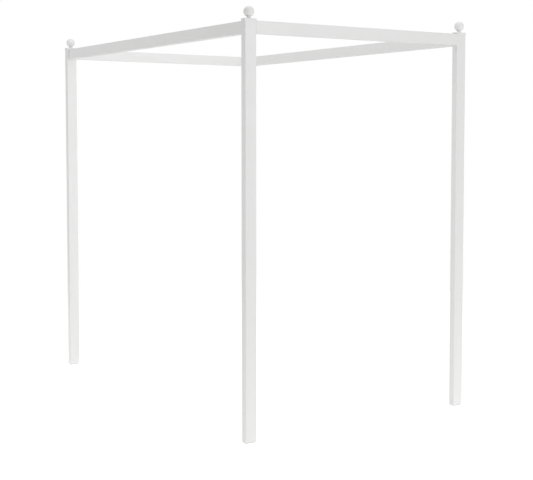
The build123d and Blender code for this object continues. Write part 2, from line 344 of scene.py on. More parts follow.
@dataclass(frozen=True)
class SprayedLacquer:
    """Satin white nitrocellulose lacquer, sprayed on sanded pine.

    To the eye it is an even soft white. Close to, the grain shows through as shallow ridges and a faint warm
    tint, the film has a slight orange peel, and it is thinner and creamier on the arrises.
    """

    name: str
    grain: Grain
    pith: tuple[float, float]  # heart of the tree from the row axis, across the grain
    film: str = "#E9E9E9"
    valley: str = "#E3E3E2"  # where the film sinks into early wood
    worn: str = "#E5E2DD"  # thin film on an arris
    ring_spacing_mm: float = 4.5
    late_wood: float = 2.2  # the higher, the narrower the hard part of each ring
    wander_mm: float = 70.0  # size of the trunk's bends
    wander_reach: float = 30.0 * MM
    wander_along: float = 0.12  # how much slower it bends along the grain
    pore_width_mm: float = 0.7
    pore_length_mm: float = 45.0
    ring_relief: float = 0.55  # height of the rings against that of the pores
    relief_depth_mm: float = 0.06
    cloud_mm: float = 160.0  # size of the duller and glossier areas
    peel_mm: float = 2.2
    peel_depth_mm: float = 0.03
    arris_mm: float = 1.6
    roughness: float = 0.36
    ior: float = 1.5

    def material(self) -> bpy.types.Material:
        """Builds the node tree.

        Returns:
            The lacquer as a material in row coordinates.
        """
        mix = Recipe(self.name)
        rings, pores = self._rings(mix), self._pores(mix)
        relief = mix.calculate(Arithmetic.NUMBER, "MULTIPLY_ADD", rings, self.ring_relief, pores)
        tint = mix.remap(relief, low=0.75, high=0.0, start=0.2, end=1.3)
        tinted = mix.blend(tint, self.film, self.valley)
        colour = mix.blend(self._arris(mix), tinted, self.worn)
        cloud = mix.noise(self.cloud_mm, Detail=3.0, Roughness=0.55)
        gloss = mix.remap(cloud, self.roughness - 0.05, self.roughness + 0.07, start=0.3, end=0.7)
        grain = mix.bump(relief, strength=0.5, depth_mm=self.relief_depth_mm)
        peel = mix.noise(self.peel_mm, Detail=1.0)
        normal = mix.bump(peel, strength=0.35, depth_mm=self.peel_depth_mm, under=grain)
        return mix.finish({"Base Color": colour, "Roughness": gloss, "Normal": normal}, {"IOR": self.ior})

    def _along_grain(self, mix: Recipe, share: float) -> Socket:
        """The row coordinate with only this share of its length along the grain."""
        return mix.stretched([share if axis == self.grain.value else 1.0 for axis in range(3)])

    def _rings(self, mix: Recipe) -> Socket:
        """Growth rings round a pith outside the piece, bent by slow wander of the trunk.

        Args:
            mix: The material in the making.

        Returns:
            Height from 0 in early wood to 1 in late wood.
        """
        wander = mix.node(
            "ShaderNodeTexNoise",
            {"Scale": 1 / (self.wander_mm * MM), "Detail": 2.0},
            {"Vector": self._along_grain(mix, self.wander_along)},
        ).outputs["Color"]
        offset = mix.calculate(Arithmetic.VECTOR, "MULTIPLY", wander, (self.wander_reach,) * 3)
        bent = mix.calculate(Arithmetic.VECTOR, "ADD", mix.place, offset)
        heart, keep = [0.0, 0.0, 0.0], [0.0, 0.0, 0.0]
        for axis, distance in zip(self.grain.across, self.pith):
            heart[axis] = distance
            keep[axis] = 1.0
        from_heart = mix.calculate(Arithmetic.VECTOR, "SUBTRACT", bent, tuple(heart))
        flat = mix.calculate(Arithmetic.VECTOR, "MULTIPLY", from_heart, tuple(keep))
        radius = mix.calculate(Arithmetic.VECTOR, "LENGTH", flat)
        turns = mix.calculate(Arithmetic.NUMBER, "MULTIPLY", radius, 1 / (self.ring_spacing_mm * MM))
        phase = mix.calculate(Arithmetic.NUMBER, "FRACT", turns)
        return mix.calculate(Arithmetic.NUMBER, "POWER", phase, self.late_wood)

    def _pores(self, mix: Recipe) -> Socket:
        """Long fine fibres that telegraph through the film.

        Args:
            mix: The material in the making.

        Returns:
            Height from 0 to 1.
        """
        squeezed = self._along_grain(mix, self.pore_width_mm / self.pore_length_mm)
        return mix.noise(self.pore_width_mm, squeezed, Detail=2.0, Roughness=0.6)

    def _arris(self, mix: Recipe) -> Socket:
        """Finds the arrises as the places where a rounded normal leaves the true one.

        Args:
            mix: The material in the making.

        Returns:
            0 on a flat face, rising to 0.6 on an arris.
        """
        rounded = mix.node("ShaderNodeBevel", {"samples": 4, "Radius": self.arris_mm * MM}).outputs["Normal"]
        true = mix.node("ShaderNodeNewGeometry").outputs["Normal"]
        agreement = mix.calculate(Arithmetic.VECTOR, "DOT_PRODUCT", rounded, true)
        return mix.remap(agreement, low=0.0, high=0.6, start=0.995, end=0.9)


@dataclass(frozen=True)
class TurnedLacquer:
    """The same satin white lacquer on a ball turned from solid beech.

    To the eye it is smoother and a little glossier than the flat timber, with faint rings left by the lathe
    tool that catch the light round the ball and in the cove.
    """

    name: str = "satin_white_lacquer_turned_beech"
    film: str = "#ECECEC"
    shade: str = "#E7E7E6"
    tool_mark_mm: float = 1.1
    peel_mm: float = 1.8
    relief_depth_mm: float = 0.03  # of the tool marks, and of the peel
    blotch_mm: float = 14.0
    roughness: float = 0.3
    ior: float = 1.5

    def material(self) -> bpy.types.Material:
        """Builds the node tree.

        Returns:
            The turned lacquer as a material in row coordinates.
        """
        mix = Recipe(self.name)
        wave = {
            "wave_type": "BANDS",
            "bands_direction": "Z",
            "Scale": math.tau / 20 / (self.tool_mark_mm * MM),  # the node draws 20 / tau bands in each unit
            "Distortion": 0.6,
            "Detail": 1.0,
            "Detail Scale": 0.4,
        }
        marks = mix.node("ShaderNodeTexWave", wave, {"Vector": mix.place}).outputs["Fac"]
        blotch = mix.noise(self.blotch_mm, Detail=3.0)
        colour = mix.blend(blotch, self.film, self.shade)
        gloss = mix.remap(blotch, self.roughness - 0.04, self.roughness + 0.06)
        marked = mix.bump(marks, strength=0.3, depth_mm=self.relief_depth_mm)
        peel = mix.noise(self.peel_mm, Detail=1.0)
        normal = mix.bump(peel, strength=0.3, depth_mm=self.relief_depth_mm, under=marked)
        return mix.finish({"Base Color": colour, "Roughness": gloss, "Normal": normal}, {"IOR": self.ior})


@dataclass(frozen=True)
class BareBeech:
    """Turned beech, left bare.

    To the eye it is a warm pinkish tan with short dark flecks along the grain and a dry, matt surface.
    """

    name: str = "bare_beech"
    light: str = "#D9B387"
    dark: str = "#BF9061"
    fleck: str = "#8F6238"
    figure_mm: float = 4.0
    fleck_mm: float = 0.5
    fleck_length_mm: float = 3.0
    fleck_depth_mm: float = 0.05
    roughness: float = 0.62

    def material(self) -> bpy.types.Material:
        """Builds the node tree.

        Returns:
            Beech as a material in row coordinates.
        """
        mix = Recipe(self.name)
        body = mix.blend(mix.noise(self.figure_mm, Detail=4.0), self.light, self.dark)
        squeeze = self.fleck_mm / self.fleck_length_mm
        cells = mix.node(
            "ShaderNodeTexVoronoi",
            {"Scale": 1 / (2 * self.fleck_mm * MM)},
            {"Vector": mix.stretched([squeeze, squeeze, 1.0])},
        ).outputs["Distance"]
        flecks = mix.remap(cells, low=0.0, high=0.7, start=0.28, end=0.08)
        colour = mix.blend(flecks, body, self.fleck)
        sunk = mix.node(
            "ShaderNodeBump",
            {"Strength": 0.5, "Distance": self.fleck_depth_mm * MM, "invert": True},
            {"Height": flecks},
        ).outputs["Normal"]
        return mix.finish({"Base Color": colour, "Normal": sunk}, {"Roughness": self.roughness})


@dataclass(frozen=True)
class ZincMetal:
    """Zinc, as a die casting or as plate on steel.

    To the eye a casting is a dull grey with a fine grainy skin, and bright plate is a cooler, sharper silver
    whose gloss wanders in soft clouds.
    """

    name: str
    light: str
    dark: str
    roughness: float
    skin_mm: float  # grain of the surface
    skin_depth_mm: float
    cloud_mm: float = 3.0

    def material(self) -> bpy.types.Material:
        """Builds the node tree.

        Returns:
            The metal as a material in row coordinates.
        """
        mix = Recipe(self.name)
        cloud = mix.noise(self.cloud_mm, Detail=3.0)
        colour = mix.blend(cloud, self.light, self.dark)
        gloss = mix.remap(cloud, self.roughness - 0.08, self.roughness + 0.1)
        skin = mix.noise(self.skin_mm, Detail=2.0)
        normal = mix.bump(skin, strength=0.6, depth_mm=self.skin_depth_mm)
        return mix.finish({"Base Color": colour, "Roughness": gloss, "Normal": normal}, {"Metallic": 1.0})


def die_cast_zinc() -> ZincMetal:
    """Die-cast zinc, as the cams are made of."""
    return ZincMetal("die_cast_zinc", "#A9ABAD", "#8E9092", 0.5, skin_mm=0.4, skin_depth_mm=0.04)


def bright_zinc_plate() -> ZincMetal:
    """Bright zinc plate, as on every screw and bolt."""
    return ZincMetal("bright_zinc_plated_steel", "#C9CDD2", "#B3B7BD", 0.27, skin_mm=0.6, skin_depth_mm=0.01)


@dataclass(frozen=True)
class MouldedPlastic:
    """Injection-moulded plastic with a spark-eroded texture.

    To the eye it is an even colour with a fine, dry sparkle. Polypropylene covers are near the lacquer's
    white, and nylon glides are a cloudier off-white that lets a little light in.
    """

    name: str
    colour: str
    shade: str
    roughness: float
    cloud_mm: float = 9.0
    texture_mm: float = 0.35  # the real 0.05 mm is too fine to show, so it is drawn coarser
    texture_depth_mm: float = 0.02
    glow_mm: float = 0.0  # how far light spreads inside
    glow_share: float = 0.3
    ior: float = 1.49

    def material(self) -> bpy.types.Material:
        """Builds the node tree.

        Returns:
            The plastic as a material in row coordinates.
        """
        mix = Recipe(self.name)
        colour = mix.blend(mix.noise(self.cloud_mm, Detail=2.0), self.colour, self.shade)
        sparks = mix.noise(self.texture_mm, Detail=1.0)
        gloss = mix.remap(sparks, self.roughness - 0.06, self.roughness + 0.06)
        normal = mix.bump(sparks, strength=0.4, depth_mm=self.texture_depth_mm)
        constants = {"IOR": self.ior}
        if self.glow_mm:
            constants |= {"Subsurface Weight": self.glow_share, "Subsurface Scale": self.glow_mm * MM}
        return mix.finish({"Base Color": colour, "Roughness": gloss, "Normal": normal}, constants)


@dataclass(frozen=True)
class StudioPaper:
    """Matt white seamless paper, rolled out under the frame.

    To the eye it is a flat pale ground with the barest mottle.
    """

    name: str = "white_seamless_paper"
    light: str = "#F7F7F6"
    dark: str = "#F3F3F2"
    mottle_mm: float = 400.0
    roughness: float = 0.85
    specular_level: float = 0.1
    glow: float = 0.48  # light that comes through it from below

    def material(self) -> bpy.types.Material:
        """Builds the node tree.

        Returns:
            The paper as a material.
        """
        mix = Recipe(self.name)
        colour = mix.blend(mix.noise(self.mottle_mm, Detail=4.0), self.light, self.dark)
        constants = {
            "Roughness": self.roughness,
            "Specular IOR Level": self.specular_level,
            "Emission Color": WHITE,
            "Emission Strength": self.glow,
        }
        return mix.finish({"Base Color": colour}, constants)


# ---------------------------------------------------------------------------------------------------------
# Mesh building
# ---------------------------------------------------------------------------------------------------------


@dataclass
class Skin:
    """Points and faces of a surface that is still being made."""

    points: np.ndarray
    faces: list[tuple[int, ...]] = field(default_factory=list)

    def placed(self, matrix: Matrix) -> "Skin":
        """Moves the skin.

        Args:
            matrix: The move, which may turn it too.

        Returns:
            A moved copy, with its faces still looking outwards.
        """
        turn = np.array(matrix.to_3x3())
        moved = self.points @ turn.T + np.array(matrix.translation)
        faces = self.faces if matrix.determinant() > 0 else [tuple(reversed(face)) for face in self.faces]
        return Skin(moved, faces)


def together(skins: list[Skin]) -> Skin:
    """Puts several skins in one, side by side.

    Args:
        skins: The skins, in one frame.

    Returns:
        One skin with all their points and faces.
    """
    faces: list[tuple[int, ...]] = []
    start = 0
    for skin in skins:
        faces += [tuple(start + point for point in face) for face in skin.faces]
        start += len(skin.points)
    return Skin(np.vstack([skin.points for skin in skins]), faces)


def lofted(rings: np.ndarray, closed_loop: bool = False) -> Skin:
    """Joins a stack of rings into a closed skin.

    Args:
        rings: Points as (ring, point, xyz). Each ring runs anticlockwise seen from the last ring's end.
        closed_loop: True joins the last ring to the first, as round a hole; False closes both ends with a
            point in the middle of the first ring and of the last.

    Returns:
        A closed skin of quads, with fans at the ends.
    """
    count, around, _ = rings.shape
    points = rings.reshape(-1, 3)
    faces: list[tuple[int, ...]] = []
    for ring in range(count if closed_loop else count - 1):
        low, high = ring * around, (ring + 1) % count * around
        for step in range(around):
            after = (step + 1) % around
            faces.append((low + step, low + after, high + after, high + step))
    if closed_loop:
        return Skin(points, faces)
    first, last = len(points), len(points) + 1
    points = np.vstack([points, rings[0].mean(0), rings[-1].mean(0)])
    top = (count - 1) * around
    for step in range(around):
        after = (step + 1) % around
        faces.append((after, step, first))
        faces.append((top + step, top + after, last))
    return Skin(points, faces)


def turned(profile: Iterable[tuple[float, float]], around: int, closed_loop: bool = False) -> Skin:
    """Turns a profile round the Z axis.

    Args:
        profile: (radius, height) pairs, from the bottom up on the outside.
        around: How many points in each ring.
        closed_loop: True where the profile comes back to its start, as on a ring.

    Returns:
        The turned skin.
    """
    angles = np.arange(around) * math.tau / around
    wheel = np.stack([np.cos(angles), np.sin(angles)], 1)
    rings = [np.column_stack([wheel * radius, np.full(around, height)]) for radius, height in profile]
    return lofted(np.array(rings), closed_loop)


def arc(
    centre: tuple[float, float], radius: float, start: float, end: float, steps: int
) -> list[tuple[float, float]]:
    """Points on an arc.

    Args:
        centre: The arc's centre.
        radius: Its radius.
        start: First angle in degrees, anticlockwise from the first axis.
        end: Last angle in degrees.
        steps: How many spans.

    Returns:
        The points, both ends included.
    """
    angles = [math.radians(start + (end - start) * step / steps) for step in range(steps + 1)]
    return [(centre[0] + radius * math.cos(a), centre[1] + radius * math.sin(a)) for a in angles]


def rounded_rectangle(width: float, depth: float, radius: float, steps: int, straight: int) -> np.ndarray:
    """Outline of a rectangle with round corners, centred on the origin.

    Args:
        width: Size along X.
        depth: Size along Y.
        radius: Corner radius.
        steps: Spans in each corner.
        straight: Spans in each straight side.

    Returns:
        Points as (point, xy), anticlockwise.
    """
    outline: list[tuple[float, float]] = []
    corners = [(1, 1, 0), (-1, 1, 90), (-1, -1, 180), (1, -1, 270)]
    for x_sign, y_sign, start in corners:
        centre = (x_sign * (width / 2 - radius), y_sign * (depth / 2 - radius))
        outline += arc(centre, radius, start, start + 90, steps)
    points: list[tuple[float, float]] = []
    for index, point in enumerate(outline):
        after = outline[(index + 1) % len(outline)]
        points.append(point)
        if (index + 1) % (steps + 1) == 0:
            for step in range(1, straight):
                share = step / straight
                points.append(
                    (point[0] + (after[0] - point[0]) * share, point[1] + (after[1] - point[1]) * share)
                )
    return np.array(points)


def standing_at(origin: Vector, direction: Vector) -> Matrix:
    """Matrix that puts a piece's own Z axis along a direction.

    Args:
        origin: Where the piece's own origin goes.
        direction: Where its Z axis points.

    Returns:
        A matrix with no mirroring.
    """
    turn = direction.to_track_quat("Z", "Y").to_matrix().to_4x4()
    return Matrix.Translation(origin) @ turn


def make_piece(name: str, skin: Skin, crease_degrees: float) -> bpy.types.Object:
    """Makes an object from a skin, smooth but for its creases.

    Args:
        name: The piece's name.
        skin: Its points and faces, in metres, in the row frame.
        crease_degrees: Edges that turn more than this stay sharp.

    Returns:
        The new object, in the scene.
    """
    mesh = bpy.data.meshes.new(name)
    mesh.from_pydata(skin.points.tolist(), [], skin.faces)
    mesh.validate()
    mesh.shade_smooth()
    mesh.set_sharp_from_angle(angle=math.radians(crease_degrees))
    piece = bpy.data.objects.new(name, mesh)
    bpy.context.scene.collection.objects.link(piece)
    return piece


# ---------------------------------------------------------------------------------------------------------
# Threads
# ---------------------------------------------------------------------------------------------------------


@dataclass(frozen=True)
class Thread:
    """A right-hand thread along part of a shaft."""

    start: float
    length: float
    crest: float  # radius
    core: float  # radius
    pitch: float
    run_out: float = 0.6  # turns over which each end fades
    root: float = 0.2  # share of the pitch's half at which the flank starts
    flank: float = 0.7  # share of the pitch's half that the flank takes
    rows_per_turn: int = 12

    def height(self, along: np.ndarray, angles: np.ndarray) -> np.ndarray:
        """Radius of the thread at each point.

        Args:
            along: Distances along the shaft, as a column.
            angles: Angles round it, as a row.

        Returns:
            Radii as (distance, angle), 0 outside the threaded stretch.
        """
        turns = (along - self.start) / self.pitch - angles / math.tau
        ridge = 1 - np.abs(2 * (turns % 1) - 1)
        ridge = np.clip((ridge - self.root) / self.flank, 0, 1)
        fade_in = np.clip((along - self.start) / (self.run_out * self.pitch), 0, 1)
        fade_out = np.clip((self.start + self.length - along) / (self.run_out * self.pitch), 0, 1)
        radius = self.core + (self.crest - self.core) * ridge * fade_in * fade_out
        inside = (along >= self.start) & (along <= self.start + self.length)
        return np.where(inside, radius, 0.0)


def shaft(profile: list[tuple[float, float]], threads: list[Thread], around: int = 32) -> Skin:
    """Turns a shaft round the Z axis, with true helical threads.

    Args:
        profile: (height, radius) pairs from the lowest end up; a threaded stretch has its core's radius.
        threads: The threaded stretches.
        around: Points in each ring.

    Returns:
        The shaft's skin.
    """
    heights = [height for height, _ in profile]
    for thread in threads:
        rows = round(thread.length / thread.pitch * thread.rows_per_turn)
        heights += [thread.start + thread.length * row / rows for row in range(1, rows)]
    stations = np.array(sorted(set(heights)))[:, None]
    plain = np.interp(stations, [p[0] for p in profile], [p[1] for p in profile])
    angles = (np.arange(around) * math.tau / around)[None, :]
    radii = np.broadcast_to(plain, (len(stations), around)).copy()
    for thread in threads:
        radii = np.maximum(radii, thread.height(stations, angles))
    rings = np.stack(
        [radii * np.cos(angles), radii * np.sin(angles), np.broadcast_to(stations, radii.shape)], axis=2
    )
    return lofted(rings)


# ---------------------------------------------------------------------------------------------------------
# Sub-assemblies
# ---------------------------------------------------------------------------------------------------------


@dataclass
class Workshop:
    """What every sub-assembly does with its CAD nodes and its finished pieces."""

    crease: float = 45.0  # edges that turn by more degrees than this stay sharp

    def dress(self, node: str, material: bpy.types.Material) -> None:
        """Gives a CAD node its finish.

        Args:
            node: The CAD node's name.
            material: The finish.
        """
        for slot in frame["nodes"][node].material_slots:
            slot.material = material
        LOG.info("dressed %s in %s", node, material.name)

    def footing(self, node: str) -> tuple[Matrix, Vector]:
        """Finds where a CAD node stands.

        Args:
            node: The CAD node's name.

        Returns:
            A move to the middle of its underside, and its size.
        """
        low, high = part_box(node)
        middle = (low + high) / 2
        return Matrix.Translation((middle.x, middle.y, low.z)), high - low

    def meeting_face(self, corner: Corner, rail: Rail) -> Matrix:
        """Finds where a rail meets a corner's post.

        Args:
            corner: The corner.
            rail: Which of its rails.

        Returns:
            A move to the middle of the meeting face, with Z pointing into the post.
        """
        low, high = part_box(corner.node_of(rail))
        middle = (low + high) / 2
        end = high if corner.value[rail.axis] > 0 else low
        middle[rail.axis] = end[rail.axis]
        return standing_at(middle, corner.into_post(rail))

    def install(self, make: str, node: str, skin: Skin, slot: Slot, material: bpy.types.Material) -> None:
        """Makes a piece and puts it in the place of its CAD node.

        Args:
            make: How the piece is made, which begins its name.
            node: The CAD node that it stands for.
            skin: Its surface, in the row frame.
            slot: Not used.
            material: Its finish.
        """
        piece = make_piece(f"{make}_{node}", skin, self.crease)
        piece.data.materials.append(material)
        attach(piece, frame["nodes"][node]["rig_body"])
        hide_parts(node)
        LOG.info("made %s for %s, %d faces", piece.name, node, len(piece.data.polygons))


@dataclass
class Timber(Workshop):
    """Posts and rails, which keep their CAD shape with its bores and arrises."""

    pith_near: float = 45.0 * MM
    pith_step: float = 13.0 * MM  # each board comes from another place in the tree

    def finish_posts(self) -> None:
        """Lacquers the four posts, whose grain stands upright."""
        for index, corner in enumerate(Corner):
            node = f"post_{corner.label}"
            self.dress(node, self._lacquer(node, Grain.ALONG_Z, index))

    def finish_rails(self) -> None:
        """Lacquers the four rails, whose grain runs along them."""
        rails = {
            "side_rail_front": Grain.ALONG_X,
            "side_rail_rear": Grain.ALONG_X,
            "end_rail_left": Grain.ALONG_Y,
            "end_rail_right": Grain.ALONG_Y,
        }
        for index, (node, grain) in enumerate(rails.items()):
            self.dress(node, self._lacquer(node, grain, index + len(Corner)))

    def _lacquer(self, node: str, grain: Grain, index: int) -> bpy.types.Material:
        """Lacquer over one board's own growth rings.

        Args:
            node: The board's CAD node.
            grain: The way its grain runs.
            index: Which board it is.

        Returns:
            The board's finish.
        """
        low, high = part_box(node)
        middle = (low + high) / 2
        first, second = grain.across
        pith = (
            middle[first] + self.pith_near + self.pith_step * (index % 3),
            middle[second] - self.pith_near - self.pith_step * (index % 4),
        )
        return SprayedLacquer(f"satin_white_lacquer_{node}", grain, pith).material()


@dataclass
class CapPlates(Workshop):
    """Plates on the post tops, with a moulded upper edge and a bore for the finial's screw."""

    crease: float = 40.0
    bore_radius: float = 3.05 * MM
    corner_radius: float = 2.5 * MM
    least_radius: float = 0.3 * MM  # of the corners, at the inside of a moulded edge
    top_round: float = 2.5 * MM
    bottom_round: float = 0.8 * MM
    corner_steps: int = 8
    side_spans: int = 10
    edge_steps: int = 8
    face_rings: int = 5
    pith_aside: float = 40.0 * MM
    pith_below: float = 30.0 * MM

    def make(self) -> None:
        """Makes and lacquers the four plates."""
        for corner in Corner:
            node = f"cap_plate_{corner.label}"
            place, size = self.footing(node)
            pith = (place.translation.x + self.pith_aside, place.translation.z - self.pith_below)
            finish = SprayedLacquer(f"satin_white_lacquer_{node}", Grain.ALONG_Y, pith).material()
            self.install("moulded", node, self._plate(size).placed(place), Slot.WHITE_LACQUER, finish)

    def _plate(self, size: Vector) -> Skin:
        """One plate, standing on its origin.

        Args:
            size: Its width, depth and thickness.

        Returns:
            The plate, open through its bore.
        """
        quarter = np.linspace(0, math.pi / 2, self.edge_steps)
        low, high = self.bottom_round, self.top_round
        edge = [(low * (1 - math.sin(a)), low * (1 - math.cos(a))) for a in quarter]
        edge += [(high * (1 - math.cos(a)), size.z - high * (1 - math.sin(a))) for a in quarter]
        rings = [self._loop(size, inset, height) for inset, height in edge]
        under, over = rings[0][:, :2], rings[-1][:, :2]
        angles = np.arctan2(under[:, 1], under[:, 0])
        bore = self.bore_radius * np.stack([np.cos(angles), np.sin(angles)], 1)
        shares = np.linspace(0, 1, self.face_rings)
        top = [self._level(over * (1 - share) + bore * share, size.z) for share in shares[1:]]
        bottom = [self._level(bore * (1 - share) + under * share, 0.0) for share in shares[:-1]]
        return lofted(np.array(rings + top + bottom), closed_loop=True)

    def _loop(self, size: Vector, inset: float, height: float) -> np.ndarray:
        """One level of the plate's edge.

        Args:
            size: The plate's width, depth and thickness.
            inset: How far inside the plate's outline the loop lies.
            height: Its height.

        Returns:
            Points as (point, xyz).
        """
        radius = max(self.corner_radius - inset, self.least_radius)
        width, depth = size.x - 2 * inset, size.y - 2 * inset
        outline = rounded_rectangle(width, depth, radius, self.corner_steps, self.side_spans)
        return self._level(outline, height)

    def _level(self, outline: np.ndarray, height: float) -> np.ndarray:
        """Lifts a flat outline to a height."""
        return np.column_stack([outline, np.full(len(outline), height)])


@dataclass
class BallFinials(Workshop):
    """Ball, neck and base turned in one piece, with a screw hole up the middle."""

    crease: float = 35.0
    ball_radius: float = 25.0 * MM
    ball_top: float = 89.6  # degrees; past this the ball closes in a point
    neck_radius: float = 10.0 * MM
    neck_fillet: float = 1.2 * MM
    base_radius: float = 13.5 * MM
    base_edge: float = 1.6 * MM
    base_rings: tuple[float, float] = (0.45, 0.7)  # shares of the base's radius
    edge_round: float = 0.5 * MM
    hole_radius: float = 3.05 * MM
    hole_depth: float = 23.0 * MM
    hole_end: float = 0.02  # share of the hole's radius at which its end closes in a point
    hole_chamfer: float = 0.6 * MM
    around: int = 96

    def make(self) -> None:
        """Turns and lacquers the four finials."""
        finish = TurnedLacquer().material()
        for corner in Corner:
            node = f"finial_{corner.label}"
            place, size = self.footing(node)
            skin = turned(self._profile(size.z), self.around).placed(place)
            self.install("turned", node, skin, Slot.WHITE_LACQUER, finish)

    def _profile(self, height: float) -> list[tuple[float, float]]:
        """Profile from the hole's end, down the hole and up the outside.

        Args:
            height: The finial's height.

        Returns:
            (radius, height) pairs.
        """
        cove = self.base_radius - self.neck_radius
        centre = height - self.ball_radius
        reach = self.ball_radius + self.neck_fillet
        fillet_x = self.neck_radius + self.neck_fillet
        fillet_drop = math.sqrt(reach**2 - fillet_x**2)
        touch = math.degrees(math.atan2(fillet_drop, fillet_x))
        return [
            (self.hole_radius * self.hole_end, self.hole_depth),
            (self.hole_radius, self.hole_depth),
            (self.hole_radius, self.hole_chamfer),
            (self.hole_radius + self.hole_chamfer, 0.0),
            *[(self.base_radius * share, 0.0) for share in self.base_rings],
            *arc((self.base_radius - self.edge_round, self.edge_round), self.edge_round, -90, 0, 5),
            *arc((self.base_radius, self.base_edge + cove), cove, 270, 180, 12),
            *arc((fillet_x, centre - fillet_drop), self.neck_fillet, 180, 180 - touch, 6),
            *arc((0.0, centre), self.ball_radius, -touch, self.ball_top, 64)[1:],
        ]


@dataclass
class FinialScrews(Workshop):
    """Double-ended screws, threaded up into the ball and down into the post."""

    crease: float = 50.0
    crest: float = 3.0 * MM
    core: float = 2.16 * MM
    pitch: float = 3.0 * MM
    in_post: float = 24.0 * MM
    plain: float = 9.0 * MM
    shoulder: float = 0.6 * MM
    tip: float = 2.5 * MM
    point: float = 0.3 * MM

    def make(self) -> None:
        """Makes and plates the four screws."""
        finish = bright_zinc_plate().material()
        for corner in Corner:
            node = f"finial_screw_{corner.label}"
            place, size = self.footing(node)
            screw = self._screw(size.z).placed(place)
            self.install("threaded", node, screw, Slot.ZINC_PLATED_STEEL, finish)

    def _screw(self, length: float) -> Skin:
        """One screw, standing on its lower tip.

        Args:
            length: Its full length.

        Returns:
            The screw's skin.
        """
        plain_end = self.in_post + self.plain
        profile = [
            (0.0, self.point),
            (self.tip, self.core),
            (self.in_post, self.core),
            (self.in_post + self.shoulder, self.crest),
            (plain_end - self.shoulder, self.crest),
            (plain_end, self.core),
            (length - self.tip, self.core),
            (length, self.point),
        ]
        threads = [
            Thread(self.tip / 2, self.in_post - self.tip / 2, self.crest, self.core, self.pitch),
            Thread(plain_end, length - plain_end - self.tip / 2, self.crest, self.core, self.pitch),
        ]
        return shaft(profile, threads)


@dataclass
class RailDowels(Workshop):
    """Fluted dowels, one above and one below each bolt, that line a rail up with its post."""

    radius: float = 4.0 * MM
    length: float = 40.0 * MM
    in_rail: float = 27.5 * MM
    nose: float = 1.6 * MM
    nose_narrowing: float = 0.3  # share of the radius
    nose_steps: int = 5
    flutes: int = 18
    points_per_flute: int = 4
    flute_depth: float = 0.3 * MM

    def make(self) -> None:
        """Makes the four dowels of each corner."""
        finish = BareBeech().material()
        for corner in Corner:
            node = f"dowels_{corner.label}"
            low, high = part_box(node)
            offset = (high.z - low.z) / 2 - self.radius
            skins = [self._pair(self.meeting_face(corner, rail), offset) for rail in Rail]
            self.install("fluted", node, together(skins), Slot.BEECH, finish)

    def _pair(self, joint: Matrix, offset: float) -> Skin:
        """The two dowels of one joint.

        Args:
            joint: The meeting face, with Z pointing into the post.
            offset: How far above and below its middle they lie.

        Returns:
            Both dowels.
        """
        start = joint @ Matrix.Translation((0, 0, -self.in_rail))
        spots = [Matrix.Translation((0, 0, step)) for step in (-offset, offset)]
        return together([self._dowel().placed(spot @ start) for spot in spots])

    def _dowel(self) -> Skin:
        """One fluted dowel with rounded ends, standing on its origin.

        Returns:
            The dowel's skin.
        """
        around = self.flutes * self.points_per_flute
        quarter = np.linspace(0, math.pi / 2, self.nose_steps)
        nose = [(self.nose * (1 - math.cos(a)), 1 - self.nose_narrowing * (1 - math.sin(a))) for a in quarter]
        other_nose = [(self.length - height, share) for height, share in reversed(nose)]
        angles = np.arange(around) * math.tau / around
        groove = np.clip(np.cos(angles * self.flutes), 0, 1) ** 2 * self.flute_depth
        rings = []
        for height, share in [*nose, (self.length / 2, 1.0), *other_nose]:
            radii = (self.radius - groove) * share
            level = np.full(around, height)
            rings.append(np.stack([radii * np.cos(angles), radii * np.sin(angles), level], 1))
        return lofted(np.array(rings))


@dataclass
class ConnectingBolts(Workshop):
    """Bolts with a thread in the post and a ball head that the rail's cam pulls on."""

    cam_distance: float = 34.0 * MM  # from the meeting face to the cam's axis
    ball: float = 3.3 * MM
    ball_end: float = 0.05 * MM  # radius at which the ball closes in a point
    neck: float = 2.0 * MM
    shank: float = 3.5 * MM
    shank_length: float = 26.1 * MM
    chamfer: float = 0.5 * MM
    step: float = 0.01 * MM  # length of a sharp step in the profile
    in_post: float = 11.0 * MM
    tip: float = 2.0 * MM
    point: float = 0.8 * MM
    crest: float = 3.0 * MM
    core: float = 2.16 * MM
    pitch: float = 2.75 * MM
    thread_start: float = 0.3 * MM
    thread_rest: float = 1.2 * MM  # length in the post that has no thread

    def make(self) -> None:
        """Makes the two bolts of each corner."""
        finish = bright_zinc_plate().material()
        for corner in Corner:
            skins = [self._bolt().placed(self.meeting_face(corner, rail)) for rail in Rail]
            self.install(
                "threaded", f"cam_bolts_{corner.label}", together(skins), Slot.ZINC_PLATED_STEEL, finish
            )

    def _bolt(self) -> Skin:
        """One bolt, its Z axis running from the meeting face into the post.

        Returns:
            The bolt's skin.
        """
        neck_angle = math.degrees(math.asin(self.neck / self.ball))
        ball = arc((0.0, 0.0), self.ball, 180, neck_angle, 16)
        neck_start = -self.cam_distance + math.sqrt(self.ball**2 - self.neck**2)
        profile = [(-self.cam_distance + along, max(radius, self.ball_end)) for along, radius in ball]
        profile += [
            (neck_start + self.step, self.neck),
            (-self.shank_length - self.step, self.neck),
            (-self.shank_length, self.shank - self.chamfer),
            (-self.shank_length + self.chamfer, self.shank),
            (-self.chamfer, self.shank),
            (0.0, self.shank - self.chamfer),
            (self.step, self.core),
            (self.in_post - self.tip, self.core),
            (self.in_post, self.point),
        ]
        thread_length = self.in_post - self.thread_rest
        return shaft(profile, [Thread(self.thread_start, thread_length, self.crest, self.core, self.pitch)])


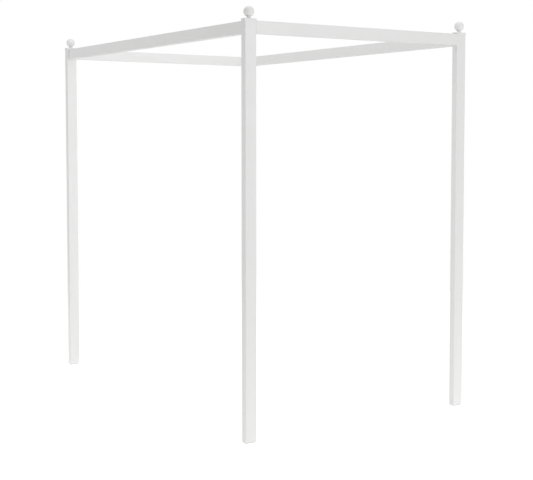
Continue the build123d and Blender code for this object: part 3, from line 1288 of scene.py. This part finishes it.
@dataclass
class CamLocks(Workshop):
    """Cams in the rails, which keep their CAD shape, and the snap-in covers over them."""

    crease: float = 40.0
    thickness: float = 1.2 * MM  # of a cover's disc
    dome: float = 0.35 * MM
    dome_levels: tuple[tuple[float, float], ...] = ((0.6, 0.35), (0.3, 0.08))  # shares of radius and dome
    middle: float = 0.3 * MM  # radius at which the disc closes in a point
    rim: float = 0.5 * MM
    rim_end: float = 80.0  # degrees
    rim_width: float = 1.6 * MM
    rim_valley: float = 0.06 * MM
    bevel: float = 0.15 * MM
    stem_flats: float = 5.0 * MM
    stem_taper: float = 0.8
    stem_chamfer: float = 0.4 * MM
    stem_overlap: float = 0.1 * MM  # of the stem with the disc
    around: int = 64

    def make(self) -> None:
        """Dresses the eight cams and makes their covers."""
        casting = die_cast_zinc().material()
        cover = MouldedPlastic("moulded_white_polypropylene", "#EAEAE8", "#E4E4E1", 0.42).material()
        for corner in Corner:
            for rail in Rail:
                self.dress(f"cam_{rail.value}_{corner.label}", casting)
                node = f"cam_cover_{rail.value}_{corner.label}"
                self.install("domed", node, self._cover(node, corner, rail), Slot.WHITE_PLASTIC, cover)

    def _cover(self, node: str, corner: Corner, rail: Rail) -> Skin:
        """One cover: a shallow dome with a rolled rim, on a hexagonal stem.

        Args:
            node: The cover's CAD node.
            corner: Its corner.
            rail: Its rail.

        Returns:
            The cover in its place.
        """
        low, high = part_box(node)
        middle, size = (low + high) / 2, high - low
        way = corner.out_of_rail(rail)
        depth = abs(size.dot(way))
        radius = size.z / 2
        disc = [
            (self.middle, -self.thickness),
            (radius - self.bevel, -self.thickness),
            (radius, -self.thickness + self.bevel),
            *arc((radius - self.rim, -self.rim - self.dome), self.rim, 0, self.rim_end, 6),
            (radius - self.rim_width, -self.dome + self.rim_valley),
            *[(radius * out, -self.dome * down) for out, down in self.dome_levels],
            (self.middle, 0.0),
        ]
        flat = self.stem_flats / math.sqrt(3)
        stem = [
            (flat * self.stem_taper, -depth),
            (flat, -depth + self.stem_chamfer),
            (flat, -self.thickness + self.stem_overlap),
        ]
        outermost = middle + way * (depth / 2)
        return together([turned(disc, self.around), turned(stem, 6)]).placed(standing_at(outermost, way))


@dataclass
class FloorGlides(Workshop):
    """Nylon glides under the posts, which keep their CAD shape, and the countersunk screws that hold them."""

    head_radius: float = 3.5 * MM
    head_edge: float = 0.15 * MM
    head_round: float = 0.12 * MM
    crest: float = 1.75 * MM
    core: float = 1.26 * MM
    pitch: float = 1.6 * MM
    thread_gap: float = 0.5 * MM  # from the head's cone to the thread
    tip: float = 3.0 * MM
    point: float = 0.12 * MM
    spacing: float = 30.0 * MM
    around: int = 24

    def make(self) -> None:
        """Dresses the glides and makes their screws."""
        nylon = MouldedPlastic("moulded_natural_nylon", "#D6D6D4", "#CCCCCA", 0.48, glow_mm=2.0).material()
        plate = bright_zinc_plate().material()
        for corner in Corner:
            self.dress(f"glide_{corner.label}", nylon)
            node = f"glide_screws_{corner.label}"
            place, size = self.footing(node)
            spots = [Matrix.Translation((0, step * self.spacing / 2, 0)) @ place for step in (-1, 1)]
            pair = together([self._screw(size.z).placed(spot) for spot in spots])
            self.install("threaded", node, pair, Slot.ZINC_PLATED_STEEL, plate)

    def _screw(self, length: float) -> Skin:
        """One countersunk screw, head down on its origin.

        Args:
            length: Its full length.

        Returns:
            The screw's skin.
        """
        cone = self.head_radius - self.crest
        profile = [
            (0.0, self.head_radius - self.head_edge),
            (self.head_edge, self.head_radius - self.head_round),
            (cone, self.crest),
            (cone + self.thread_gap, self.core),
            (length - self.tip, self.core),
            (length, self.point),
        ]
        start = cone + self.thread_gap
        thread = Thread(start, length - self.tip / 2 - start, self.crest, self.core, self.pitch)
        return shaft(profile, [thread], self.around)


# ---------------------------------------------------------------------------------------------------------
# Studio
# ---------------------------------------------------------------------------------------------------------


@dataclass
class Softbox:
    """One large square lamp that casts soft shadows."""

    name: str
    position: tuple[float, float, float]
    target: tuple[float, float, float]
    side: float
    power: float

    def hang(self) -> None:
        """Adds the lamp to the scene."""
        lamp = bpy.data.lights.new(self.name, "AREA")
        lamp.shape = "SQUARE"
        lamp.size = self.side
        lamp.energy = self.power
        holder = bpy.data.objects.new(self.name, lamp)
        holder.location = self.position
        aim = Vector(self.target) - Vector(self.position)
        holder.rotation_mode = "QUATERNION"
        holder.rotation_quaternion = aim.to_track_quat("-Z", "Y")
        bpy.context.scene.collection.objects.link(holder)
        holder.visible_camera = False


@dataclass
class Studio:
    """Pale floor, soft light and the camera."""

    floor_radius: float = 3.7  # past it the white backdrop shows
    floor_middle: tuple[float, float] = (-0.5, 0.3)
    floor_sides: int = 96
    backdrop: float = 1.0  # what the eye sees past the floor
    surround: float = 0.5  # what lights the frame from all round
    surround_lean: tuple[float, float, float] = (0.15, -0.15, -0.15)  # more comes from +X, -Y and below
    camera_place: tuple[float, float, float] = (5.3862, -3.3566, 1.4659)
    camera_turn: float = 33.058  # degrees that the view is turned from -X towards +Y
    camera_tilt: float = -3.386  # degrees above the horizon
    lens_mm: float = 73.57
    sensor_mm: float = 36.0
    shift: tuple[float, float] = (-0.00702, -0.0788)  # of the lens, as shares of the view's width

    def build(self) -> None:
        """Builds the whole studio."""
        self._floor()
        self._world()
        self._lamps()
        self._camera()
        bpy.context.scene.view_settings.view_transform = "Standard"
        bpy.context.scene.view_settings.look = "None"

    def _floor(self) -> None:
        """Lays the round sheet of paper."""
        angles = [math.tau * step / self.floor_sides for step in range(self.floor_sides)]
        x, y = self.floor_middle
        reach = self.floor_radius
        rim = [(x + reach * math.cos(a), y + reach * math.sin(a), 0.0) for a in angles]
        mesh = bpy.data.meshes.new("studio_floor")
        mesh.from_pydata(rim, [], [tuple(range(self.floor_sides))])
        mesh.materials.append(StudioPaper().material())
        floor = bpy.data.objects.new("studio_floor", mesh)
        bpy.context.scene.collection.objects.link(floor)

    def _world(self) -> None:
        """Lights the frame from all round, a little more from some sides, and shows a white backdrop."""
        world = bpy.data.worlds.new("studio_surround")
        world.use_nodes = True
        tree = world.node_tree
        tree.nodes.clear()
        way = add_node(tree, "ShaderNodeTexCoord").outputs["Generated"]
        lean = add_node(
            tree, "ShaderNodeVectorMath", {"operation": "DOT_PRODUCT", 1: self.surround_lean}, {0: way}
        ).outputs["Value"]
        level = add_node(tree, "ShaderNodeMath", {"operation": "ADD", 1: self.surround}, {0: lean}).outputs[0]
        light = add_node(tree, "ShaderNodeBackground", {"Color": WHITE}, {"Strength": level})
        seen = add_node(tree, "ShaderNodeBackground", {"Color": WHITE, "Strength": self.backdrop})
        path = add_node(tree, "ShaderNodeLightPath").outputs["Is Camera Ray"]
        both = add_node(
            tree,
            "ShaderNodeMixShader",
            links={0: path, 1: light.outputs["Background"], 2: seen.outputs["Background"]},
        )
        add_node(tree, "ShaderNodeOutputWorld", links={"Surface": both.outputs["Shader"]})
        bpy.context.scene.world = world

    def _lamps(self) -> None:
        """Hangs the soft lamps, each with its place, what it looks at, its side and its watts."""
        middle = (0.0, 0.0, 1.0)
        left_post = (-1.07, -0.66, 1.0)
        Softbox("rear_overhead_softbox", (-2.0, 1.5, 4.5), (-2.0, 1.5, 0.0), 4.0, 16.0).hang()
        Softbox("middle_overhead_softbox", (0.0, 0.0, 4.5), (0.0, 0.0, 0.0), 4.0, 68.0).hang()
        Softbox("right_softbox", (8.0, 2.5, 2.5), middle, 4.0, 149.0).hang()
        Softbox("left_softbox", (-3.2, -3.0, 1.4), left_post, 2.0, 15.0).hang()
        Softbox("rear_softbox", (-4.0, 8.0, 2.5), middle, 4.0, 60.0).hang()

    def _camera(self) -> None:
        """Sets up the camera."""
        data = bpy.data.cameras.new("view")
        data.sensor_width = self.sensor_mm
        data.lens = self.lens_mm
        data.shift_x, data.shift_y = self.shift
        camera = bpy.data.objects.new("view", data)
        turn, tilt = math.radians(self.camera_turn), math.radians(self.camera_tilt)
        ahead = Vector((-math.cos(turn) * math.cos(tilt), math.sin(turn) * math.cos(tilt), math.sin(tilt)))
        camera.location = self.camera_place
        camera.rotation_mode = "QUATERNION"
        camera.rotation_quaternion = ahead.to_track_quat("-Z", "Y")
        bpy.context.scene.collection.objects.link(camera)
        bpy.context.scene.camera = camera


# ---------------------------------------------------------------------------------------------------------
# Assembly
# ---------------------------------------------------------------------------------------------------------


def main() -> None:
    """Builds the studio and every sub-assembly."""
    logging.basicConfig(level=logging.INFO, format="%(name)s: %(message)s")
    Studio().build()
    timber = Timber()
    timber.finish_posts()
    timber.finish_rails()
    CapPlates().make()
    BallFinials().make()
    FinialScrews().make()
    RailDowels().make()
    ConnectingBolts().make()
    CamLocks().make()
    FloorGlides().make()


if __name__ == "__main__":
    main()
